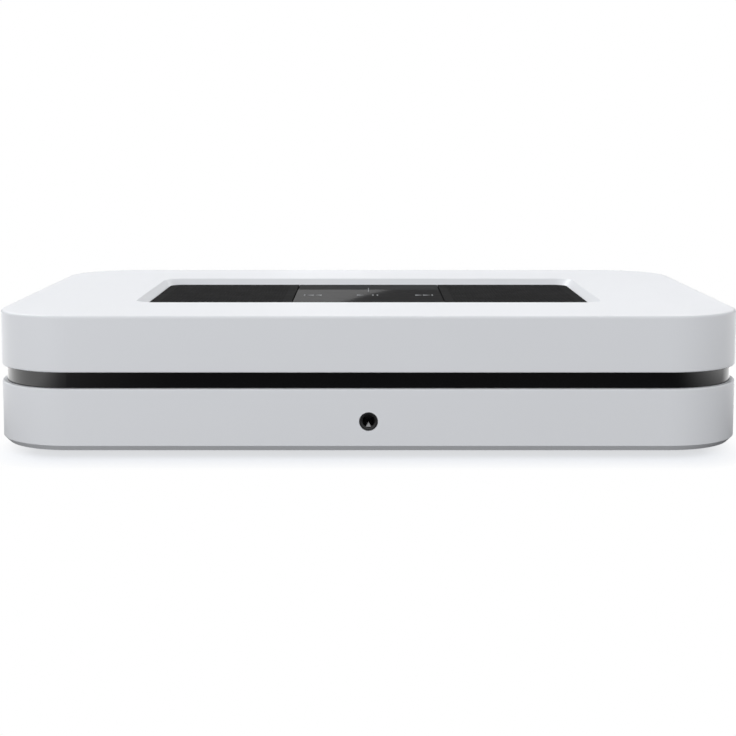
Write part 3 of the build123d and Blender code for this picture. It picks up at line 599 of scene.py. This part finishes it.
def jack_contact():
    """The sprung contact that shows as a pointed leaf at the bottom of the headphone bore; its light,
    barely metallic grey also stands in for a glint there, a painted highlight.
    """
    low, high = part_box("headphone_jack")
    x, y = (low.x + high.x) / 2, low.y + leaf_setback
    outline = [(x - leaf_half, y, jack_axis - leaf_foot), (x + leaf_half, y, jack_axis - leaf_foot),
               (x, y, jack_axis - leaf_tip)]
    # Painted highlight: the leaf's light grey, barely metallic, stands in for a glint in the bore
    contact_metal_and_painted_glint = surface("contact_metal_and_painted_glint", colour=(0.42, 0.42, 0.43), roughness=0.4, texture=mark_skin,
                         metallic=0.3)
    add_prisms("headphone_contact", [outline], (0, leaf_depth, 0), contact_metal_and_painted_glint)


# Floor


def floor_place(tree):
    """The floor's own x and y."""
    place = tree.nodes.new("ShaderNodeTexCoord")
    split = tree.nodes.new("ShaderNodeSeparateXYZ")
    tree.links.new(place.outputs["Object"], split.inputs["Vector"])
    return split.outputs["X"], split.outputs["Y"]


def beside(tree):
    """0 under the object, 1 where its shade has faded out beside it; it masks the floor's painted
    shadow.
    """
    high = cad_box[1]
    outside = []
    for value, half, inset in zip(floor_place(tree), (high.x, high.y), shade_inset):
        straight = half - inset - shade_corner
        past = maths(tree, "SUBTRACT", maths(tree, "ABSOLUTE", value), straight)
        outside.append(maths(tree, "MAXIMUM", past, 0))
    squares = [maths(tree, "MULTIPLY", side, side) for side in outside]
    away = maths(tree, "SQRT", maths(tree, "ADD", *squares))
    return spread(tree, away, 0, 1, shade_corner, shade_corner + shade_reach)


def mirrored_level(tree):
    """How bright the floor looks in gloss."""
    x, y = floor_place(tree)
    off = maths(tree, "ABSOLUTE", maths(tree, "SUBTRACT", x, mirror_middle))
    rise = spread(tree, off, 0, 1, mirror_dark_half, mirror_bright_half)
    aside = maths(tree, "POWER", rise, mirror_curve)
    behind = spread(tree, y, 0, mirror_behind_share, mirror_behind_start, mirror_behind_end)
    return spread(tree, maths(tree, "MAXIMUM", aside, behind), mirror_dark, mirror_bright, 0, 1)


def shown_paper(tree):
    """What the camera sees: paper that takes real shadow beside the object, where its glow is also
    dimmed and tinted blue as a painted shadow, and glows white further off.
    """
    away = beside(tree)
    # Painted shadow: the glow is dimmed and tinted blue beside the object
    level = spread(tree, away, shade_glow, seen_level, 0, 1)
    made = tree.nodes.new("ShaderNodeAddShader")
    glow_colour = tinted(tree, away, shade_glow_tint, WHITE)
    glow = shader(tree, "ShaderNodeEmission", Color=glow_colour, Strength=level)
    paper = shader(tree, "ShaderNodeBsdfDiffuse", Color=tinted(tree, away, shade_tint, BLACK))
    tree.links.new(glow, made.inputs[0])
    tree.links.new(paper, made.inputs[1])
    return made.outputs["Shader"]


def floor_paper():
    """White paper from above, and nothing from below; gloss sees a shaped card in its place."""
    made, tree, out = empty_material("floor_paper")
    bounce = shader(tree, "ShaderNodeBsdfDiffuse", floor_bounce)
    gloss = shader(tree, "ShaderNodeEmission", WHITE, Strength=mirrored_level(tree))
    path = tree.nodes.new("ShaderNodeLightPath")
    bounced = mixed(tree, path.outputs["Is Glossy Ray"], bounce, gloss)
    above = mixed(tree, path.outputs["Is Camera Ray"], bounced, shown_paper(tree))
    below = shader(tree, "ShaderNodeBsdfTransparent", WHITE)
    side = tree.nodes.new("ShaderNodeNewGeometry")
    tree.links.new(mixed(tree, side.outputs["Backfacing"], above, below), out)
    return made


def flat_stage(name, corners, finish):
    """A flat sheet of the studio, with these corners."""
    mesh = bpy.data.meshes.new(name)
    mesh.from_pydata(corners, [], [list(range(len(corners)))])
    mesh.materials.append(finish)
    made = bpy.data.objects.new(name, mesh)
    bpy.context.scene.collection.objects.link(made)
    return made


def make_floor():
    size, level = floor_half, -floor_drop
    corners = [(-size, -size, level), (size, -size, level), (size, size, level), (-size, size, level)]
    flat_stage("floor", corners, floor_paper())


# Studio


def seen_ray(tree):
    """1 where the ray comes from the camera, a reflection or a transparent piece."""
    path = tree.nodes.new("ShaderNodeLightPath")
    sharp = maths(tree, "MAXIMUM", path.outputs["Is Camera Ray"], path.outputs["Is Glossy Ray"])
    return maths(tree, "MAXIMUM", sharp, path.outputs["Is Transmission Ray"])


def make_world():
    world = bpy.data.worlds.new("studio")
    bpy.context.scene.world = world
    world.use_nodes = True
    tree = world.node_tree
    tree.nodes.clear()
    sky = shader(tree, "ShaderNodeBackground", WHITE, Strength=sky_level)
    seen = shader(tree, "ShaderNodeBackground", WHITE, Strength=seen_level)
    out = tree.nodes.new("ShaderNodeOutputWorld")
    tree.links.new(mixed(tree, seen_ray(tree), sky, seen), out.inputs["Surface"])


def card(name, outline, y, level):
    """A card across the y axis, from (x, z) points, that only gloss sees."""
    corners = [(x, y, z) for x, z in outline]
    made = flat_stage(name, corners, glowing_card(name, level))
    made.visible_camera = False
    made.visible_diffuse = False
    made.visible_shadow = False
    made.visible_volume_scatter = False


def make_cards():
    """A dark card behind the object, and a bright one that glints in the touch glass's left half."""
    half, low, top = dark_card_half, dark_card_low, dark_card_top
    card("card_dark", [(-half, low), (half, low), (half, top), (-half, top)],
         card_back + card_gap, dark_card_level)
    card("card_bright", [(glint_left, glint_low), *glint_edge, (glint_left, glint_top)],
         card_back, glint_level)


def lamp(name, place, size, power, glossy=False):
    """A rectangular lamp; only a glossy one shows in gloss."""
    data = bpy.data.lights.new(name, "AREA")
    data.shape = "RECTANGLE"
    data.size, data.size_y = size
    data.energy = power
    made = bpy.data.objects.new(name, data)
    bpy.context.scene.collection.objects.link(made)
    made.location = place
    aim = Vector(lamp_target) - Vector(place)
    made.rotation_euler = aim.to_track_quat("-Z", "Y").to_euler()
    made.visible_glossy = glossy


def make_lamps():
    lamp("key", key_place, key_size, key_power, glossy=True)
    lamp("fill", fill_place, fill_size, fill_power)
    lamp("side_left", left_place, side_size, left_power)
    lamp("side_right", right_place, side_size, right_power)


def make_camera():
    low = cad_box[0]
    data = bpy.data.cameras.new("camera")
    data.lens = camera_lens
    data.sensor_width = camera_sensor
    data.shift_y = camera_shift
    made = bpy.data.objects.new("camera", data)
    bpy.context.scene.collection.objects.link(made)
    made.location = (camera_aside, low.y - camera_ahead, camera_height)
    made.rotation_euler = (math.radians(camera_level - camera_pitch), 0, 0)
    bpy.context.scene.camera = made


bpy.context.scene.view_settings.view_transform = "Standard"
make_camera()
make_world()
make_floor()
make_cards()
make_lamps()
dress_nodes(make_finishes())
touch_symbols()
jack_contact()
